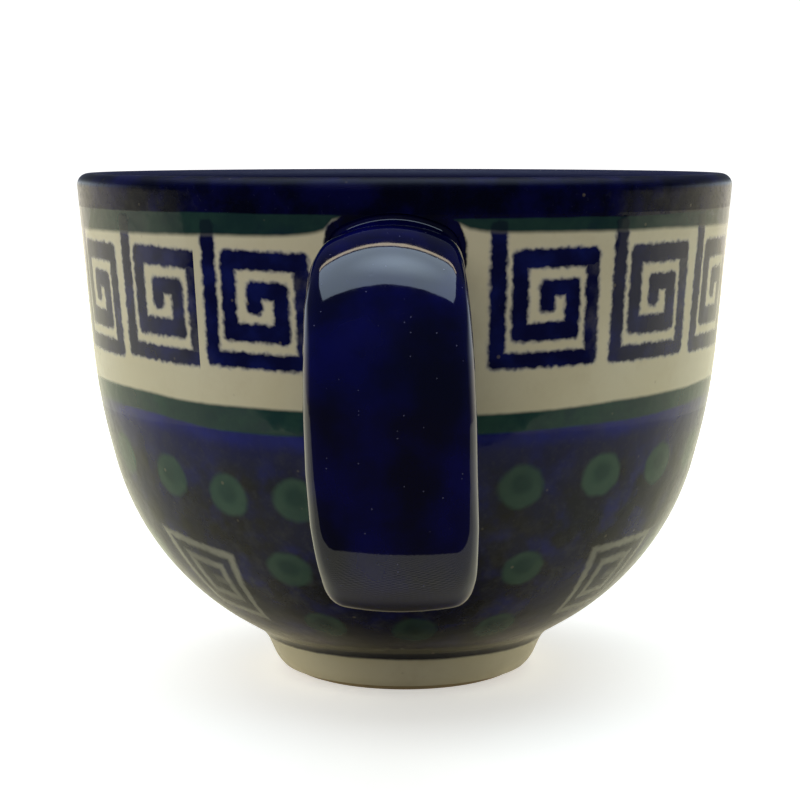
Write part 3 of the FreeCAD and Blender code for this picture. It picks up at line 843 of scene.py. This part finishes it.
def cobalt_handle():
    """Thick cobalt glaze, with pale specks and pinholes, thinner along the strap's edges."""
    material, nodes = new_material("cobalt_handle_glaze")
    place = in_millimetres(nodes)
    cloud = nodes.noise(place, 11, 3)
    grain = nodes.noise(place, 1.1, 3)
    colour = nodes.mix(nodes.smooth(cloud, 0.35, 0.75), tint(1, 2, 32), tint(3, 4, 76))
    edge = nodes.smooth(nodes.add("ShaderNodeNewGeometry").outputs["Pointiness"], 0.5, 0.56)
    colour = nodes.mix(nodes.math("MULTIPLY", edge, 0.4), colour, tint(30, 34, 92))
    specks = nodes.specks(place, 0.9, 0.1)
    colour = nodes.mix(nodes.math("MULTIPLY", specks, 0.6), colour, tint(110, 112, 140))
    pits = nodes.specks(place, 3.1, 0.16)
    height = nodes.math("MULTIPLY_ADD", cloud, 0.25, nodes.math("MULTIPLY", pits, -0.06))
    height = nodes.math("MULTIPLY_ADD", grain, 0.01, height)
    roughness = nodes.math("MULTIPLY_ADD", grain, 0.08, 0.03)
    glossy(nodes, colour, height, roughness, coat=0.3, specular=0.5)
    return material


def cream_inside():
    """Cream glaze with iron specks, faint turning rings and the cobalt lapped over the lip."""
    material, nodes = new_material("cream_inner_glaze")
    place = in_millimetres(nodes)
    parts = nodes.add("ShaderNodeSeparateXYZ")
    nodes.feed(parts.inputs[0], place)
    cloud = nodes.noise(place, 16, 3)
    grain = nodes.noise(place, 1.2, 3)
    colour = nodes.mix(cloud, WARM_CREAM, CREAM)
    specks = nodes.specks(place, 2.2, 0.10)
    colour = nodes.mix(nodes.math("MULTIPLY", specks, 0.6), colour, tint(120, 96, 66))
    wobble = nodes.math("MULTIPLY_ADD", nodes.noise(place, 9, 3), 2.4, parts.outputs[2])
    lapped = nodes.smooth(wobble, 84.6, 86.0)
    colour = nodes.mix(lapped, colour, tint(4, 7, 50))
    height = nodes.math("MULTIPLY_ADD", cloud, 0.4, nodes.math("MULTIPLY", grain, 0.02))
    turning = nodes.math("SINE", nodes.math("MULTIPLY", wobble, 2 * math.pi / RING_PITCH))
    height = nodes.math("MULTIPLY_ADD", turning, 0.02, height)
    roughness = nodes.math("MULTIPLY_ADD", grain, 0.16, 0.08)
    lip = nodes.smooth(parts.outputs[2], 87.0, 88.6)
    roughness = nodes.math("MULTIPLY_ADD", lip, 0.45, roughness)
    glossy(nodes, colour, height, roughness)
    return material


def cream_base():
    """Cream glaze wiped thin under the foot."""
    material, nodes = new_material("cream_base_glaze")
    place = in_millimetres(nodes)
    wiped = nodes.noise(place, 5, 4, 0.6)
    grain = nodes.noise(place, 0.8, 3)
    colour = nodes.mix(nodes.smooth(wiped, 0.3, 0.75), CREAM, tint(186, 170, 134))
    specks = nodes.specks(place, 1.8, 0.10)
    colour = nodes.mix(nodes.math("MULTIPLY", specks, 0.6), colour, tint(112, 90, 62))
    height = nodes.math("MULTIPLY_ADD", wiped, 0.3, nodes.math("MULTIPLY", grain, 0.03))
    roughness = nodes.math("MULTIPLY_ADD", grain, 0.22, 0.14)
    glossy(nodes, colour, height, roughness, coat=0.3)
    return material


def bare_clay(name, dry):
    """Unglazed stoneware: sandy and matt, with darker iron grains."""
    material, nodes = new_material(name)
    shader = nodes.tree.nodes["Principled BSDF"]
    place = in_millimetres(nodes)
    cloud = nodes.noise(place, 6, 4, 0.6)
    grit = nodes.noise(place, 0.35, 3, 0.7)
    colour = nodes.mix(cloud, tint(*dry), tint(*(level - 22 for level in dry)))
    iron = nodes.specks(place, 1.1, 0.10)
    colour = nodes.mix(nodes.math("MULTIPLY", iron, 0.7), colour, tint(92, 66, 44))
    sandy = nodes.relief(nodes.math("MULTIPLY", grit, 0.12), 0.6)
    nodes.feed(shader.inputs["Base Color"], colour)
    nodes.feed(shader.inputs["Roughness"], nodes.math("MULTIPLY_ADD", grit, 0.25, 0.68))
    nodes.feed(shader.inputs["Normal"], sandy)
    return material


# ---------------------------------------------------------------- pieces

group = decoration()
outside = turned(OUTSIDE)
outside_normals = grid_normals(outside)
places, kinds, shades = stamped(OUTSIDE)


def coat(name, node, slot, low, high, limits=(0.06, 0.26), specular=0.35):
    """The part of the glazed outside between two heights."""
    rows = np.where((OUTSIDE[:, 1] <= high + 1e-6) & (OUTSIDE[:, 1] >= low - 1e-6))[0]
    first, last = rows[0], rows[-1]
    material = decorated(name + "_glaze", group, *limits, specular)
    marks = (places[first:last], kinds[first:last], shades[first:last])
    piece = skin(
        name, outside[first:last + 1], outside_normals[first:last + 1], material, marks=marks
    )
    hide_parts(node)


coat("rim_coat", "cobalt_rim_band", "cobalt_glaze", BANDS["rim"], 100, (0.12, 0.5), 0.16)
coat("upper_green_coat", "upper_green_band", "green_glaze", BANDS["upper_green"], BANDS["rim"])
coat("key_band_coat", "key_band_glaze", "cream_glaze", BANDS["keys"], BANDS["upper_green"])
coat("lower_green_coat", "lower_green_band", "green_glaze", BANDS["lower_green"], BANDS["keys"])
coat(
    "dotted_field_coat", "dotted_field_glaze", "sponged_blue_glaze",
    BANDS["field"], BANDS["lower_green"], (0.1, 0.36), 0.24,
)
coat("foot_coat", "foot_glaze", "cream_glaze", BANDS["foot"], BANDS["field"], (0.1, 0.25))

inside = turned(inside_points()[:-1])
inner = skin(
    "inner_coat", inside, -grid_normals(inside), cream_inside(), flip=True,
    pole=((0, 0, FLOOR_HEIGHT + GLAZE), (0, 0, 1)),
)
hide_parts("inner_glaze")

strap = handle_grid(GLAZE)
handle = skin("handle_coat", strap, -grid_normals(strap), cobalt_handle(), flip=True)
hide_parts("handle_glaze")
core = handle_grid(0.0)
handle_clay = skin(
    "handle_clay", core, -grid_normals(core), bare_clay("handle_stoneware", (176, 158, 128)),
    flip=True,
)
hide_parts("handle_strap", "upper_handle_joint", "lower_handle_joint")

for name, material in (
    ("stoneware_body", bare_clay("turned_stoneware", (186, 168, 136))),
    ("base_glaze", cream_base()),
):
    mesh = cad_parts[name].data
    mesh.materials.clear()
    mesh.materials.append(material)


# ---------------------------------------------------------------- floor, light, camera

MAT_LEVEL = -0.0002
WEAVE_PITCHES = (3.4, 2.8)
CAMERA_AWAY, CAMERA_HEIGHT = 0.37375, 0.09457
CAMERA_SIDE, CAMERA_TILT = 1.25, 7.017


def sheet(name, corner, far_corner, height):
    """A level sheet, its material's nodes and place on it."""
    (left, near), (right, far) = corner, far_corner
    mesh = bpy.data.meshes.new(name)
    around = ((left, near), (right, near), (right, far), (left, far))
    mesh.from_pydata([(x, y, height) for x, y in around], [], [(0, 1, 2, 3)])
    material, nodes = new_material(name)
    material.node_tree.nodes["Principled BSDF"].inputs["Roughness"].default_value = 0.8
    mesh.materials.append(material)
    placed = bpy.data.objects.new(name, mesh)
    bpy.context.scene.collection.objects.link(placed)
    return placed, nodes, in_millimetres(nodes)


def stage_floor():
    """A pale floor that glows as painted light, and the woven mat just under it that only the
    mug's glaze reflects, which glows as painted light and has a painted shadow under the handle.
    """
    floor, nodes, place = sheet("pale_floor", (-3, -3), (3, 3), 0)
    shader = nodes.tree.nodes["Principled BSDF"]
    tone = nodes.noise(place, 60, 3)
    pale = nodes.mix(tone, tint(240, 239, 233), tint(246, 245, 240))
    nodes.feed(shader.inputs["Base Color"], pale)
    # The floor glows as painted light, weaker near the mug and stronger away from it.
    away = nodes.smooth(nodes.vector("LENGTH", place), 90, 700)
    shader.inputs["Emission Color"].default_value = (1, 1, 0.98, 1)
    nodes.feed(shader.inputs["Emission Strength"], nodes.math("MULTIPLY_ADD", away, 0.6, 0.5))
    floor.visible_glossy = False
    floor.visible_diffuse = False
    floor.visible_shadow = False

    mat, nodes, place = sheet("woven_mat", (-0.8, -0.126), (0.8, 0.9), MAT_LEVEL)
    shader = nodes.tree.nodes["Principled BSDF"]
    over = nodes.add("ShaderNodeSeparateXYZ")
    nodes.feed(over.inputs[0], place)
    strands = [
        nodes.math("SINE", nodes.math("MULTIPLY", axis, 2 * math.pi / pitch))
        for axis, pitch in zip(over.outputs, WEAVE_PITCHES)
    ]
    crossing = nodes.smooth(nodes.math("MULTIPLY", *strands), -0.6, 0.5)
    crossing = nodes.math("MAXIMUM", crossing, nodes.smooth(over.outputs[1], -92, -60))
    woven = nodes.mix(crossing, tint(132, 128, 104), tint(214, 208, 176))
    # Painted shadow of the handle on the mat: round a spot under the handle the weave is darker
    # and glows less.
    under_handle = nodes.vector("SUBTRACT", place, (0, -48, 0))
    clear = nodes.smooth(nodes.vector("LENGTH", under_handle), 8, 44)
    nodes.feed(shader.inputs["Base Color"], nodes.mix(clear, tint(96, 90, 74), woven))
    # The mat glows as painted light, brighter towards the back and weaker between the strands.
    painted_glow = nodes.math("MULTIPLY_ADD", nodes.smooth(over.outputs[1], -40, 90), 0.24, 0.15)
    painted_glow = nodes.math("MULTIPLY", painted_glow, nodes.math("MULTIPLY_ADD", crossing, 0.5, 0.5))
    painted_glow = nodes.math("MULTIPLY", painted_glow, clear)
    shader.inputs["Emission Color"].default_value = (1.0, 0.93, 0.74, 1)
    nodes.feed(shader.inputs["Emission Strength"], painted_glow)
    mat.visible_camera = False
    mat.visible_shadow = False


def lamp(name, place, width, depth, power, colour, seen=True):
    """A rectangular soft light that points at the mug; its reflection shows if seen."""
    light = bpy.data.lights.new(name, "AREA")
    light.shape = "RECTANGLE"
    light.size, light.size_y = width, depth
    light.energy = power
    light.color = colour
    placed = bpy.data.objects.new(name, light)
    placed.location = place
    placed.rotation_mode = "QUATERNION"
    aim = Vector((0, 0, 0.05)) - placed.location
    placed.rotation_quaternion = aim.to_track_quat("-Z", "Y")
    placed.visible_glossy = seen
    bpy.context.scene.collection.objects.link(placed)
    return light


def studio_light():
    """A white room to look at, a warm low glow behind the mug, and soft lamps."""
    world = bpy.data.worlds.new("studio")
    bpy.context.scene.world = world
    world.use_nodes = True
    nodes = Nodes(world.node_tree)
    way = nodes.add("ShaderNodeTexCoord").outputs["Generated"]
    parts = nodes.add("ShaderNodeSeparateXYZ")
    nodes.feed(parts.inputs[0], way)
    _, y, z = parts.outputs
    behind = nodes.smooth(y, -0.1, 0.75)
    low = nodes.math("MULTIPLY", nodes.smooth(z, 0.3, 0.08), nodes.smooth(z, -0.5, -0.1))
    glow = nodes.math("MULTIPLY", behind, low)
    strength = nodes.math("MULTIPLY_ADD", glow, 1.1, 0.05)
    warmth = nodes.mix(nodes.smooth(z, -0.06, 0.1), (1.0, 0.93, 0.76, 1), (0.82, 0.92, 1.0, 1))
    seen = nodes.add("ShaderNodeLightPath").outputs["Is Camera Ray"]
    sky = world.node_tree.nodes["Background"]
    nodes.feed(sky.inputs["Color"], nodes.mix(seen, warmth, (1, 1, 1, 1)))
    nodes.feed(sky.inputs["Strength"], nodes.math("MAXIMUM", strength, seen))
    window = lamp("window", (0, 0.04, 1.0), 1.5, 0.76, 9.6, (0.68, 0.84, 1.0))
    window.use_nodes = True
    pane = Nodes(window.node_tree)
    spread = pane.add("ShaderNodeNewGeometry").outputs["Parametric"]
    spread = pane.vector("MULTIPLY", pane.vector("SUBTRACT", spread, (0.46, 0.5, 0)), (1, 0.9, 0))
    bright = pane.smooth(pane.vector("LENGTH", spread), 0.34, 0.0)
    pane.feed(
        window.node_tree.nodes["Emission"].inputs["Strength"],
        pane.math("MULTIPLY_ADD", bright, 0.7, 0.85),
    )
    lamp("window_sill", (0, 0.50, 0.98), 1.5, 0.07, 1.0, (1.0, 0.85, 0.6))
    warm = (1.0, 0.95, 0.86)
    lamp("front_fill", (-0.2, -1.1, 0.75), 1.2, 0.9, 7.8, warm, seen=False)
    lamp("left_fill", (-1.1, 0.4, 0.5), 0.9, 0.9, 4.6, (1.0, 0.97, 0.96), seen=False)
    lamp("right_fill", (1.1, 0.6, 0.5), 0.9, 0.9, 4.4, warm, seen=False)
    lamp("back_fill", (0, 1.3, 0.6), 1.2, 0.9, 5.0, warm, seen=False)


def studio_camera():
    """A view from in front of the handle, a little above the mug's lip."""
    camera = bpy.data.cameras.new("camera")
    camera.sensor_width = 36
    camera.lens = 93.75
    camera.shift_x = -0.0057
    camera.clip_start, camera.clip_end = 0.01, 20
    placed = bpy.data.objects.new("camera", camera)
    side = math.radians(CAMERA_SIDE)
    placed.location = (
        CAMERA_AWAY * math.sin(side), -CAMERA_AWAY * math.cos(side), CAMERA_HEIGHT
    )
    placed.rotation_euler = (math.radians(90 - CAMERA_TILT), 0, side)
    bpy.context.scene.collection.objects.link(placed)
    bpy.context.scene.camera = placed


stage_floor()
studio_light()
studio_camera()
bpy.context.scene.view_settings.view_transform = "Standard"
